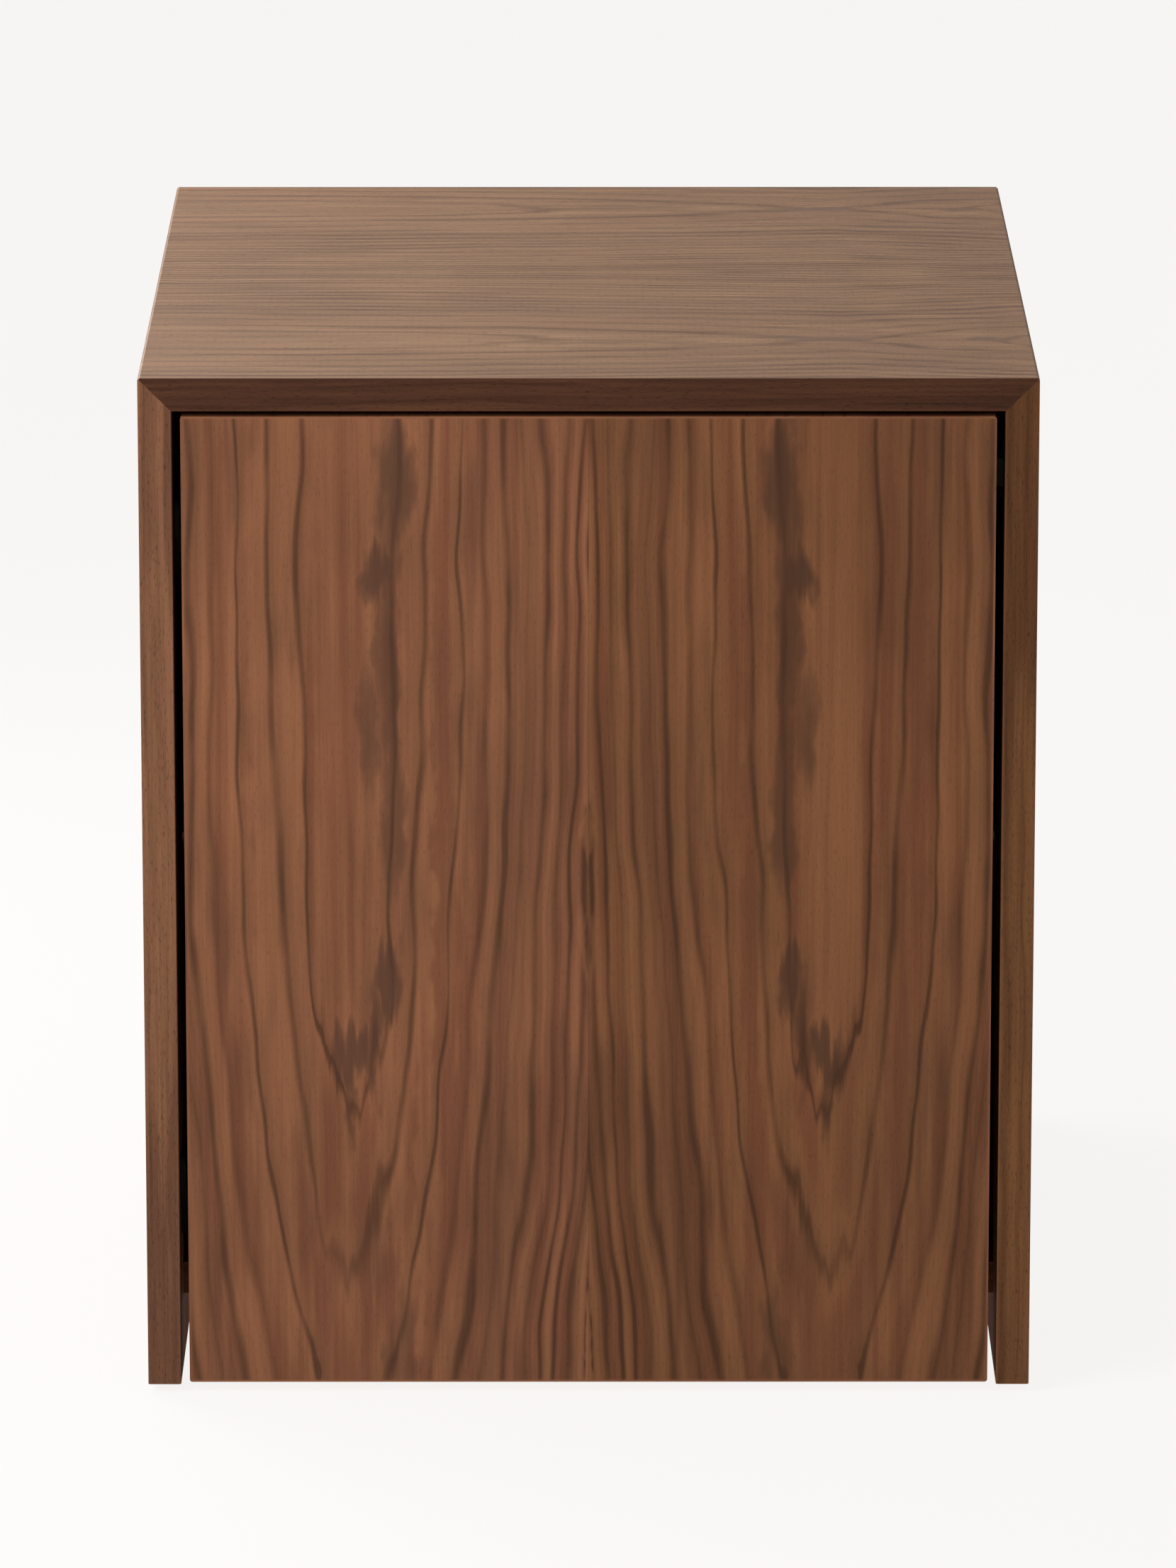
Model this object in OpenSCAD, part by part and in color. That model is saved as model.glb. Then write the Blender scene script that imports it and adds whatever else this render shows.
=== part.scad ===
// Walnut cube storage unit: a mitred case on low glides, with one shelf
// and an inset door that has no handle. The door turns on two concealed
// pins near its left edge and is let go by a push latch at its right edge.
// Lengths are in millimetres. +X is right, +Y is towards the back, +Z is up,
// and the origin is on the floor under the middle of the case.

/* [Case] */
// Outside width of the case
case_w = 510; // [440:5:600]
// Outside depth of the case, from front edge to rear edge
case_d = 580; // [480:5:640]
// Height of the case above its glides
case_h = 595; // [560:5:700]
// Thickness of the case boards, the shelf and the door
board_t = 19; // [18:0.5:20]
// Thickness of the wood bands on the boards' edges
band_t = 1; // [0.6:0.1:2]
// Width of the bevel along the two outer top arrises
arris = 1.2; // [0.4:0.1:2]
// Height of the bottom board's underside above the sides' lower edges
bottom_raise = 40; // [32:1:80]
// How far the shelf's and the bottom board's front edges stand behind the door
door_to_shelf = 30; // [6:0.5:45]

/* [Back] */
// Thickness of the back panel
back_t = 9; // [6:0.5:12]
// How far the back panel is set in from the rear edges
back_inset = 10; // [8:1:20]
// Depth of the groove that holds the back panel
groove_depth = 6; // [4:0.5:8]

/* [Door] */
// Gap at each side of the door
side_gap = 5; // [5:0.25:7]
// Gap above the door
top_gap = 3.2; // [2:0.2:6]
// How far the door's lower edge is above the sides' lower edges
door_raise = 1.3; // [1:0.1:20]
// How far the door's face is set back from the case's front edges
door_recess = 1; // [0.5:0.5:3]
// Radius of the door's four corners
door_corner_r = 1.6; // [0.5:0.1:3]

/* [Hinges] */
// Distance from the door's left edge to the hinge pins' axis
pin_inset = 9; // [9:0.25:10]
// Diameter of the hinge pins
pin_d = 4; // [3:0.5:5]
// Radial running clearance of the bracket's eye around the pin
pin_play = 0.05; // [0.02:0.01:0.1]
// Height of the lower hinge's middle above the floor
hinge_low_z = 110; // [105:5:160]
// Distance from the lower hinge's middle to the upper one's
hinge_spacing = 390; // [300:10:400]

/* [Shelf] */
// Height of the shelf's underside above the floor
shelf_z = 313; // [240:1:380]
// Diameter of the shelf pins
shelf_pin_d = 5; // [4:0.5:7]
// Distance between the pin holes of a column
pin_hole_pitch = 32; // [25:1:40]
// Distance between the front and rear columns of pin holes
pin_column_gap = 400; // [300:10:440]

/* [Latch] */
// Height of the push latch's plunger above the floor
latch_z = 540; // [530:1:545]
// Diameter of the plunger
plunger_d = 7; // [6:0.5:8]
// Radial running clearance of the plunger in its housing
plunger_play = 0.1; // [0.05:0.01:0.1]
// Travel of the plunger
plunger_travel = 14; // [10:1:16]

/* [Glides] */
// Height of the nylon glides
glide_h = 5; // [4:0.5:8]
// Diameter of the glides
glide_d = 16; // [12:1:18]
// Distance from the case's front or rear edge to a glide's middle
glide_inset = 35; // [30:1:60]

/* [Hidden] */
$fn = 64;
little = 0.02;

// Case faces
out_x = case_w / 2;
in_x = out_x - board_t;
front_y = -case_d / 2;
rear_y = case_d / 2;
low_z = glide_h;
top_z = glide_h + case_h;
under_top_z = top_z - board_t;
bottom_z = low_z + bottom_raise;
floor_z = bottom_z + board_t;

// Back panel
back_y1 = rear_y - back_inset;
back_y0 = back_y1 - back_t;
back_low_z = low_z + 7;
back_play = 0.2;

// Door faces
door_x = in_x - side_gap;
door_y0 = front_y + door_recess;
door_y1 = door_y0 + board_t;
door_z0 = low_z + door_raise;
door_z1 = under_top_z - top_gap;

// Shelf and bottom board
shelf_y0 = door_y1 + door_to_shelf;
shelf_end_gap = 2.5;
shelf_y1 = back_y0 - 2;
shelf_pin_z = shelf_z - shelf_pin_d / 2;
shelf_pin_in = 9;
shelf_pin_out = 9;
collar_d = 8;
collar_t = 2;

// Mitre splines, set nearer the inner corner of the mitre. They stop short
// of the front band and of the groove for the back panel.
spline_w = 16;
spline_t = 4;
spline_in = 7;
spline_y0 = front_y + band_t + 12;
spline_y1 = back_y0 - 3;

// Dowels and cam fittings between the bottom board and the sides
joint_z = bottom_z + board_t / 2;
dowel_d = 8;
dowel_l = 30;
dowel_in_side = 10;
dowel_y = 120;
cam_y = 200;
cam_d = 15;
cam_h = 12.5;
cam_reach = 34;
cam_x = in_x - cam_reach;
cam_bolt_d = 5;
cam_bolt_in_side = 10;
cam_bore_d = 8;

// Hinge, about its own middle
axis_x = -door_x + pin_inset;
axis_y = (door_y0 + door_y1) / 2;
hinge_zs = [hinge_low_z, hinge_low_z + hinge_spacing];
eye_r = 4.5;
eye_h = 13;
arm_t = 5;
bend_r = 8;
arm_back = bend_r + arm_t + 10.5;
plate_t = 3;
plate_l = 56;
plate_h = 44;
slot_h = eye_h + 1.4;
slot_x = axis_x + eye_r + 1.2;
pocket_y0 = axis_y - eye_r - 1;
block_x0 = axis_x - 5;
block_x1 = axis_x + 10;
block_h = 64;
block_play = 0.2;
flange_t = 1.5;
flange_l = 36;
hinge_screw_z = 15;

// Latch, about its plunger's axis
latch_x = in_x - 15;
latch_body_r = 8;
latch_y0 = door_y1 + 6;
latch_l = 61;
latch_y1 = latch_y0 + latch_l;
latch_wall = 2;
latch_foot_t = 2.5;
latch_foot_l = 43;
latch_foot_h = 34;
latch_screw_z = 12.5;
strike_d = 16;
strike_t = 1.5;
strike_gap = 0.1;
tip_y = door_y1 + strike_t + strike_gap;
plunger_l = 38;
plunger_wall = 1.1;
magnet_d = 5.2;
magnet_t = 2.5;
spring_wire_d = 0.6;
spring_d = 3.4;
spring_y0 = tip_y + magnet_t + 1.5;
spring_turns = 12;

// Screws, by shank diameter, length and head diameter
plate_screw = [4, 16, 8];
flange_screw = [3.5, 13, 7];
foot_screw = [3.5, 15, 7];
strike_screw_size = [3.5, 13, 7];
back_screw = [4, 35, 8];
back_screw_xs = [-160, 0, 160];

// Glides
glide_x = out_x - board_t / 2;
glide_y = case_d / 2 - glide_inset;
nail_d = 2.4;
nail_head_d = 6;
nail_l = 22;

WALNUT = "#6b4a36";
WALNUT_DARK = "#54392a";
WALNUT_INSIDE = "#745440";
BEECH = "#c9a77c";
STEEL = "#9a9c9f";
BLACK_STEEL = "#2b2a29";
BLACK_PLASTIC = "#1d1c1b";
NYLON = "#3a3634";

// A box given by its six faces
module board(x0, x1, y0, y1, z0, z1) {
    translate([x0, y0, z0])
        cube([x1 - x0, y1 - y0, z1 - z0]);
}

// An outline drawn in X and Z, run along Y
module along_y(y0, y1) {
    translate([0, y1, 0])
        rotate([90, 0, 0])
            linear_extrude(y1 - y0)
                children();
}

// Turns a shape made along +Z so that it points along +X, -X, +Y or -Y
module to_right() { rotate([0, 90, 0]) children(); }
module to_left() { rotate([0, -90, 0]) children(); }
module to_back() { rotate([-90, 0, 0]) children(); }
module to_front() { rotate([90, 0, 0]) children(); }

// Puts a shape made for the right-hand side (side = 1) on either side
module on_side(side) {
    if (side < 0)
        mirror([1, 0, 0]) children();
    else
        children();
}

// A countersunk wood screw driven along +Z, with its head's face at z = 0
module wood_screw(size) {
    shank_r = size[0] / 2;
    head_r = size[2] / 2;
    head_h = head_r - shank_r;
    point_h = size[0];
    difference() {
        union() {
            cylinder(r1 = head_r, r2 = shank_r, h = head_h);
            translate([0, 0, head_h - little])
                cylinder(r = shank_r, h = size[1] - head_h - point_h + 2 * little);
            translate([0, 0, size[1] - point_h])
                cylinder(r1 = shank_r, r2 = 0.3, h = point_h);
        }
        for (turn = [0, 90])
            rotate(turn)
                translate([-head_r * 0.55, -head_r * 0.11, -1])
                    cube([head_r * 1.1, head_r * 0.22, 2.2]);
    }
}

// The hole that a countersunk screw needs
module screw_hole(size) {
    shank_r = size[0] / 2;
    head_r = size[2] / 2;
    cylinder(r1 = head_r, r2 = shank_r, h = head_r - shank_r);
    cylinder(r = shank_r, h = size[1] + 0.5);
}

// ---- Case boards ----

// Outline of a side board, mitred at its top, on the right-hand side
module side_outline() {
    polygon([
        [in_x, low_z], [out_x, low_z], [out_x, top_z - arris],
        [out_x - arris / 2, top_z - arris / 2], [in_x, under_top_z]
    ]);
}

// Outline of the top board, mitred at both ends
module top_outline() {
    polygon([
        [-in_x, under_top_z], [in_x, under_top_z],
        [out_x - arris / 2, top_z - arris / 2], [out_x - arris, top_z],
        [arris - out_x, top_z], [arris / 2 - out_x, top_z - arris / 2]
    ]);
}

// The back panel's room in the case's grooves
module back_room() {
    board(-in_x - groove_depth, in_x + groove_depth,
          back_y0 - back_play / 2, back_y1 + back_play / 2,
          low_z - 1, under_top_z + groove_depth);
}

// A mitre spline, or with play its groove, on the right-hand side
module spline(play = 0) {
    translate([in_x + spline_in, (spline_y0 + spline_y1) / 2, under_top_z + spline_in])
        rotate([0, 45, 0])
            cube([spline_w + play, spline_y1 - spline_y0 + play, spline_t + play / 2],
                 center = true);
}

module shelf_pin_holes() {
    for (y = [-1, 1] * pin_column_gap / 2, step = [-1, 0, 1])
        translate([in_x - little, y, shelf_pin_z + step * pin_hole_pitch])
            to_right() cylinder(d = shelf_pin_d, h = shelf_pin_in + little);
}

module side_fitting_holes() {
    for (y = [-1, 1] * dowel_y)
        translate([in_x - little, y, joint_z])
            to_right() cylinder(d = dowel_d, h = dowel_in_side + little);
    for (y = [-1, 1] * cam_y)
        translate([in_x - little, y, joint_z])
            to_right() cylinder(d = cam_bolt_d, h = cam_bolt_in_side + little);
}

module glide_nail_holes() {
    for (y = [-1, 1] * glide_y)
        translate([glide_x, y, low_z - little])
            cylinder(d = nail_d, h = nail_l - glide_h + 1);
}

// A side board made for the right-hand side
module side_board() {
    difference() {
        along_y(front_y + band_t, rear_y - band_t) side_outline();
        back_room();
        spline(0.4);
        shelf_pin_holes();
        side_fitting_holes();
        glide_nail_holes();
    }
}

module hinge_plate_screw_spots() {
    for (z = hinge_zs, dz = [-1, 1] * hinge_screw_z)
        translate([-in_x + plate_t, axis_y + arm_back + plate_l - 14, z + dz])
            to_left() children();
}

module latch_foot_screw_spots() {
    for (dz = [-1, 1] * latch_screw_z)
        translate([in_x - latch_foot_t, (latch_y0 + latch_y1) / 2, latch_z + dz])
            to_right() children();
}

module top_panel() {
    color(WALNUT) difference() {
        along_y(front_y + band_t, rear_y - band_t) top_outline();
        back_room();
        for (side = [-1, 1])
            on_side(side) spline(0.4);
    }
}

module left_side_panel() {
    color(WALNUT) difference() {
        on_side(-1) side_board();
        hinge_plate_screw_spots() screw_hole(plate_screw);
    }
}

module right_side_panel() {
    color(WALNUT) difference() {
        side_board();
        latch_foot_screw_spots() screw_hole(foot_screw);
    }
}

module bottom_panel() {
    color(WALNUT_INSIDE) difference() {
        board(-in_x, in_x, shelf_y0 + band_t, back_y0, bottom_z, floor_z);
        for (side = [-1, 1])
            on_side(side) {
                for (y = [-1, 1] * dowel_y)
                    translate([in_x - dowel_l + dowel_in_side, y, joint_z])
                        to_right() cylinder(d = dowel_d, h = dowel_l);
                for (y = [-1, 1] * cam_y) {
                    translate([cam_x, y, joint_z])
                        to_right() cylinder(d = cam_bore_d, h = cam_reach + 1);
                    translate([cam_x, y, bottom_z - 1])
                        cylinder(d = cam_d + 0.2, h = cam_h + 1);
                }
            }
        for (x = back_screw_xs)
            translate([x, back_y1, joint_z])
                to_front() screw_hole(back_screw);
    }
}

module back_panel() {
    fit = 0.2;
    color(WALNUT_INSIDE) difference() {
        board(-in_x - groove_depth + fit, in_x + groove_depth - fit, back_y0, back_y1,
              back_low_z, under_top_z + groove_depth - fit);
        for (x = back_screw_xs)
            translate([x, back_y1, joint_z])
                to_front() screw_hole(back_screw);
    }
}

module shelf() {
    color(WALNUT_INSIDE)
        board(-in_x + shelf_end_gap, in_x - shelf_end_gap, shelf_y0 + band_t, shelf_y1,
              shelf_z, shelf_z + board_t);
}

// ---- Edge bands ----

module front_top_band() {
    color(WALNUT_DARK) along_y(front_y, front_y + band_t) top_outline();
}

module front_left_band() {
    color(WALNUT_DARK) on_side(-1) along_y(front_y, front_y + band_t) side_outline();
}

module front_right_band() {
    color(WALNUT_DARK) along_y(front_y, front_y + band_t) side_outline();
}

module rear_top_band() {
    color(WALNUT_DARK) along_y(rear_y - band_t, rear_y) top_outline();
}

module rear_left_band() {
    color(WALNUT_DARK) on_side(-1) along_y(rear_y - band_t, rear_y) side_outline();
}

module rear_right_band() {
    color(WALNUT_DARK) along_y(rear_y - band_t, rear_y) side_outline();
}

module bottom_front_band() {
    color(WALNUT_DARK)
        board(-in_x, in_x, shelf_y0, shelf_y0 + band_t, bottom_z, floor_z);
}

module shelf_front_band() {
    color(WALNUT_DARK)
        board(-in_x + shelf_end_gap, in_x - shelf_end_gap, shelf_y0, shelf_y0 + band_t,
              shelf_z, shelf_z + board_t);
}

// ---- Joinery inside the boards ----

module mitre_splines() {
    color(BEECH)
        for (side = [-1, 1])
            on_side(side) spline();
}

module bottom_dowels() {
    bevel = 1;
    color(BEECH)
        for (side = [-1, 1], y = [-1, 1] * dowel_y)
            on_side(side)
                translate([in_x - dowel_l + dowel_in_side, y, joint_z])
                    to_right() {
                        cylinder(d1 = dowel_d - 2 * bevel, d2 = dowel_d, h = bevel);
                        translate([0, 0, bevel])
                            cylinder(d = dowel_d, h = dowel_l - 2 * bevel);
                        translate([0, 0, dowel_l - bevel])
                            cylinder(d1 = dowel_d, d2 = dowel_d - 2 * bevel, h = bevel);
                    }
}

// A pin screwed into the side, with a neck and a head that the cam draws in
module cam_bolts() {
    head_l = 3;
    neck_l = 5;
    color(STEEL)
        for (side = [-1, 1], y = [-1, 1] * cam_y)
            on_side(side)
                translate([cam_x, y, joint_z])
                    to_right() {
                        cylinder(d = 6.4, h = head_l);
                        cylinder(d = 3.4, h = head_l + neck_l);
                        translate([0, 0, head_l + neck_l - little])
                            cylinder(d = 6.4, h = cam_reach - head_l - neck_l + little);
                        cylinder(d = cam_bolt_d - 0.1, h = cam_reach + cam_bolt_in_side);
                    }
}

module cam_discs() {
    room = 3.6;
    color(STEEL)
        for (side = [-1, 1], y = [-1, 1] * cam_y)
            on_side(side)
                translate([cam_x, y, bottom_z])
                    difference() {
                        cylinder(d = cam_d, h = cam_h);
                        translate([-room, -room, joint_z - bottom_z - room])
                            cube([cam_d, 2 * room, cam_h]);
                        for (turn = [0, 90])
                            rotate(turn)
                                translate([-4, -0.7, -1])
                                    cube([8, 1.4, 3]);
                    }
}

module back_screws() {
    color(STEEL)
        for (x = back_screw_xs)
            translate([x, back_y1, joint_z])
                to_front() wood_screw(back_screw);
}

// ---- Shelf pins and glides ----

module shelf_pins() {
    color(STEEL)
        for (side = [-1, 1], y = [-1, 1] * pin_column_gap / 2)
            on_side(side)
                translate([in_x + shelf_pin_in, y, shelf_pin_z])
                    to_left() {
                        cylinder(d = shelf_pin_d, h = shelf_pin_in + shelf_pin_out);
                        translate([0, 0, shelf_pin_in])
                            cylinder(d = collar_d, h = collar_t);
                    }
}

module floor_glides() {
    r = glide_d / 2;
    color(NYLON)
        for (side = [-1, 1], y = [-1, 1] * glide_y)
            on_side(side)
                translate([glide_x, y, 0])
                    difference() {
                        rotate_extrude()
                            polygon([
                                [0, 0], [r - 1.2, 0], [r, 1.2], [r, glide_h], [0, glide_h]
                            ]);
                        translate([0, 0, -1])
                            cylinder(d = nail_head_d, h = 3);
                        cylinder(d = nail_d, h = glide_h + 1);
                    }
}

module glide_nails() {
    color(STEEL)
        for (side = [-1, 1], y = [-1, 1] * glide_y)
            on_side(side)
                translate([glide_x, y, 0.8]) {
                    cylinder(d = nail_head_d, h = 1.2);
                    cylinder(d = nail_d, h = nail_l - 4);
                    translate([0, 0, nail_l - 4])
                        cylinder(d1 = nail_d, d2 = 0.4, h = 3);
                }
}

// ---- Hinges ----

// The case's half: a bent arm with an eye, on a plate screwed to the side
module hinge_bracket() {
    arm_x0 = axis_x - arm_t / 2;
    arm_x1 = axis_x + arm_t / 2;
    arm_y1 = axis_y + arm_back;
    bend_x = arm_x1 - bend_r;
    bend_y = arm_y1 - bend_r;
    half = eye_h / 2;
    color(BLACK_STEEL) difference() {
        union() {
            translate([axis_x, axis_y, -half])
                cylinder(r = eye_r, h = eye_h);
            board(arm_x0, arm_x1, axis_y, bend_y, -half, half);
            translate([bend_x, bend_y, -half])
                difference() {
                    cylinder(r = bend_r, h = eye_h);
                    translate([0, 0, -1])
                        cylinder(r = bend_r - arm_t, h = eye_h + 2);
                    translate([-2 * bend_r, -bend_r, -1])
                        cube([2 * bend_r, 2 * bend_r, eye_h + 2]);
                    translate([-bend_r, -2 * bend_r, -1])
                        cube([2 * bend_r, 2 * bend_r, eye_h + 2]);
                }
            board(-in_x, bend_x, arm_y1 - arm_t, arm_y1, -half, half);
            board(-in_x, -in_x + plate_t, arm_y1 - arm_t, arm_y1 + plate_l - arm_t,
                  -plate_h / 2, plate_h / 2);
        }
        translate([axis_x, axis_y, -half - 1])
            cylinder(r = pin_d / 2 + pin_play, h = eye_h + 2);
        for (dz = [-1, 1] * hinge_screw_z)
            translate([-in_x + plate_t, axis_y + arm_back + plate_l - 14, dz])
                to_left() screw_hole(plate_screw);
    }
}

module block_flange_screw_spots() {
    for (dz = [-1, 1] * (block_h / 2 - 10))
        translate([axis_x + 24, door_y1 + flange_t, dz])
            to_front() children();
}

// The door's half: a block let into the door's back, which holds the pin
module hinge_block() {
    half = block_h / 2 - block_play;
    color(BLACK_STEEL) difference() {
        union() {
            board(block_x0 + block_play, block_x1 - block_play, pocket_y0 + block_play,
                  door_y1 + little, -half, half);
            board(block_x0 + block_play, block_x0 + flange_l, door_y1, door_y1 + flange_t,
                  -half, half);
        }
        board(block_x0 - 1, slot_x, pocket_y0 - 1, door_y1 + flange_t + 1,
              -slot_h / 2, slot_h / 2);
        translate([axis_x, axis_y, -block_h / 2 + 4])
            cylinder(d = pin_d, h = block_h);
        block_flange_screw_spots() screw_hole(flange_screw);
    }
}

module hinge_pin() {
    color(STEEL)
        translate([axis_x, axis_y, -block_h / 2 + 4])
            cylinder(d = pin_d, h = block_h - 4 - block_play);
}

module upper_hinge_bracket() { translate([0, 0, hinge_zs[1]]) hinge_bracket(); }
module lower_hinge_bracket() { translate([0, 0, hinge_zs[0]]) hinge_bracket(); }
module upper_hinge_block() { translate([0, 0, hinge_zs[1]]) hinge_block(); }
module lower_hinge_block() { translate([0, 0, hinge_zs[0]]) hinge_block(); }
module upper_hinge_pin() { translate([0, 0, hinge_zs[1]]) hinge_pin(); }
module lower_hinge_pin() { translate([0, 0, hinge_zs[0]]) hinge_pin(); }

module hinge_bracket_screws() {
    color(BLACK_STEEL) hinge_plate_screw_spots() wood_screw(plate_screw);
}

// Thin washers between each eye and the block above and below it
module hinge_washers() {
    washer_t = 0.6;
    color(NYLON)
        for (z = hinge_zs, foot = [-slot_h / 2, slot_h / 2 - washer_t])
            translate([axis_x, axis_y, z + foot])
                difference() {
                    cylinder(r = eye_r - 0.3, h = washer_t);
                    translate([0, 0, -1])
                        cylinder(d = pin_d, h = 3);
                }
}

module hinge_block_screws() {
    color(BLACK_STEEL)
        for (z = hinge_zs)
            translate([0, 0, z])
                block_flange_screw_spots() wood_screw(flange_screw);
}

// ---- Door ----

// Pockets for the hinge blocks and slots for the arms that swing in them
module door_hinge_room() {
    for (z = hinge_zs)
        translate([0, 0, z]) {
            board(block_x0, block_x1, pocket_y0, door_y1 + 1, -block_h / 2, block_h / 2);
            board(-door_x - 1, slot_x, pocket_y0, door_y1 + 1, -slot_h / 2, slot_h / 2);
            block_flange_screw_spots() screw_hole(flange_screw);
        }
}

// The part of the door with its rounded corners that lies between given faces
module door_slab(x0, x1, z0, z1) {
    r = door_corner_r;
    intersection() {
        along_y(door_y0, door_y1)
            union() {
                translate([-door_x + r, door_z0])
                    square([2 * (door_x - r), door_z1 - door_z0]);
                translate([-door_x, door_z0 + r])
                    square([2 * door_x, door_z1 - door_z0 - 2 * r]);
                for (x = [-1, 1] * (door_x - r), z = [door_z0 + r, door_z1 - r])
                    translate([x, z])
                        circle(r);
            }
        board(x0, x1, door_y0 - 1, door_y1 + 1, z0, z1);
    }
}

module door_panel() {
    color(WALNUT) difference() {
        door_slab(-door_x + band_t, door_x - band_t, door_z0 + band_t, door_z1 - band_t);
        door_hinge_room();
        translate([latch_x, door_y1 + strike_t, latch_z])
            to_front() screw_hole(strike_screw_size);
    }
}

module door_top_band() {
    color(WALNUT_DARK)
        door_slab(-door_x + band_t, door_x - band_t, door_z1 - band_t, door_z1);
}

module door_bottom_band() {
    color(WALNUT_DARK)
        door_slab(-door_x + band_t, door_x - band_t, door_z0, door_z0 + band_t);
}

module door_left_band() {
    color(WALNUT_DARK) difference() {
        door_slab(-door_x, -door_x + band_t, door_z0, door_z1);
        door_hinge_room();
    }
}

module door_right_band() {
    color(WALNUT_DARK)
        door_slab(door_x - band_t, door_x, door_z0, door_z1);
}

module strike_plate() {
    color(STEEL)
        translate([latch_x, door_y1 + strike_t, latch_z])
            difference() {
                to_front() cylinder(d = strike_d, h = strike_t);
                to_front() screw_hole(strike_screw_size);
            }
}

module strike_screw() {
    color(STEEL)
        translate([latch_x, door_y1 + strike_t, latch_z])
            to_front() wood_screw(strike_screw_size);
}

// ---- Push latch ----

module latch_housing() {
    color(BLACK_PLASTIC) difference() {
        union() {
            translate([latch_x, latch_y0, latch_z])
                to_back() cylinder(r = latch_body_r, h = latch_l);
            board(latch_x, in_x, latch_y0, latch_y1,
                  latch_z - latch_body_r, latch_z + latch_body_r);
            translate([in_x - latch_foot_t, (latch_y0 + latch_y1 - latch_foot_l) / 2,
                       latch_z - latch_foot_h / 2])
                cube([latch_foot_t, latch_foot_l, latch_foot_h]);
        }
        translate([latch_x, latch_y0 - 1, latch_z])
            to_back() cylinder(r = plunger_d / 2 + plunger_play, h = latch_l + 1 - latch_wall);
        latch_foot_screw_spots() screw_hole(foot_screw);
    }
}

module latch_screws() {
    color(BLACK_STEEL) latch_foot_screw_spots() wood_screw(foot_screw);
}

// A hollow plunger with the magnet in its tip and the spring in its bore
module latch_plunger() {
    color(BLACK_PLASTIC)
        translate([latch_x, tip_y, latch_z])
            to_back()
                difference() {
                    cylinder(d = plunger_d, h = plunger_l);
                    translate([0, 0, -1])
                        cylinder(d = magnet_d, h = magnet_t + 1);
                    translate([0, 0, spring_y0 - tip_y])
                        cylinder(d = plunger_d - 2 * plunger_wall, h = plunger_l);
                }
}

module latch_magnet() {
    color(STEEL)
        translate([latch_x, tip_y, latch_z])
            to_back() cylinder(d = magnet_d, h = magnet_t);
}

// A point of the spring wire's rim: its place along the coil and round the wire
function wire_point(along, around) =
    let (
        turn = 360 * spring_turns * along,
        reach = spring_d / 2 + spring_wire_d / 2 * cos(around),
        run = latch_y1 - latch_wall - spring_y0 - spring_wire_d
    )
    [
        reach * cos(turn),
        reach * sin(turn),
        spring_wire_d / 2 + run * along + spring_wire_d / 2 * sin(around)
    ];

module latch_spring() {
    rings = spring_turns * 14;
    sides = 6;
    points = [
        for (ring = [0 : rings], k = [0 : sides - 1])
            wire_point(ring / rings, 360 * k / sides)
    ];
    skin = [
        for (ring = [0 : rings - 1], k = [0 : sides - 1])
            let (
                a = ring * sides + k,
                b = ring * sides + (k + 1) % sides
            )
            [a, a + sides, b + sides, b]
    ];
    ends = [
        [for (k = [0 : sides - 1]) k],
        [for (k = [sides - 1 : -1 : 0]) rings * sides + k]
    ];
    color(STEEL)
        translate([latch_x, spring_y0, latch_z])
            to_back() polyhedron(points = points, faces = concat(skin, ends), convexity = 10);
}

top_panel();
left_side_panel();
right_side_panel();
bottom_panel();
back_panel();
shelf();
front_top_band();
front_left_band();
front_right_band();
rear_top_band();
rear_left_band();
rear_right_band();
bottom_front_band();
shelf_front_band();
mitre_splines();
bottom_dowels();
cam_bolts();
cam_discs();
back_screws();
shelf_pins();
floor_glides();
glide_nails();
upper_hinge_bracket();
lower_hinge_bracket();
hinge_bracket_screws();
latch_housing();
latch_screws();
latch_spring();
latch_plunger();
latch_magnet();
door_panel();
door_top_band();
door_bottom_band();
door_left_band();
door_right_band();
upper_hinge_block();
lower_hinge_block();
upper_hinge_pin();
lower_hinge_pin();
hinge_washers();
hinge_block_screws();
strike_plate();
strike_screw();
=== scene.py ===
import math

import bmesh
import bpy
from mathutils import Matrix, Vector


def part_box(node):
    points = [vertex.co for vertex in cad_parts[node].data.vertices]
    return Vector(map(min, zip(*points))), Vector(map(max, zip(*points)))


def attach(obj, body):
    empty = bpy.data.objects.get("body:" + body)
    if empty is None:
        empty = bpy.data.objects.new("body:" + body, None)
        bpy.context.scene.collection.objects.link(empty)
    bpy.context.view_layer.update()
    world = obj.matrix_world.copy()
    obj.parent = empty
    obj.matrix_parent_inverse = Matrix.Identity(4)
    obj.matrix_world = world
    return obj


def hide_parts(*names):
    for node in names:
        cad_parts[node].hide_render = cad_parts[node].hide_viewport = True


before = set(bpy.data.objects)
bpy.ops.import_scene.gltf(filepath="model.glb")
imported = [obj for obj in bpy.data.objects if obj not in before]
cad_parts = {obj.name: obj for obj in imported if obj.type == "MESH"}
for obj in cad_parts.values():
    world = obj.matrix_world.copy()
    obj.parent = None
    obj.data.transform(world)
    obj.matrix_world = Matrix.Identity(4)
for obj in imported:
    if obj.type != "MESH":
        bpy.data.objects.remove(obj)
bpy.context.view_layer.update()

# ---- Top and sides of the case ----
# Three 19 mm boards, mitred and glued at the two top corners, under one log's
# crown-cut walnut veneer and thin matt lacquer. The grain runs from side to
# side over the top, and up and down the sides.

front_band_low, front_band_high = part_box("front_top_band")
right_low, right_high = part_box("right_side_panel")
case_front = front_band_low.y
case_top = front_band_high.z
case_side = right_high.x
case_foot = right_low.z
CLOSE = 0.0004
ARRIS_CUT = 0.0012
FOOT_ROUND = 0.002
ALONG_AXIS = 0.9


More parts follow.
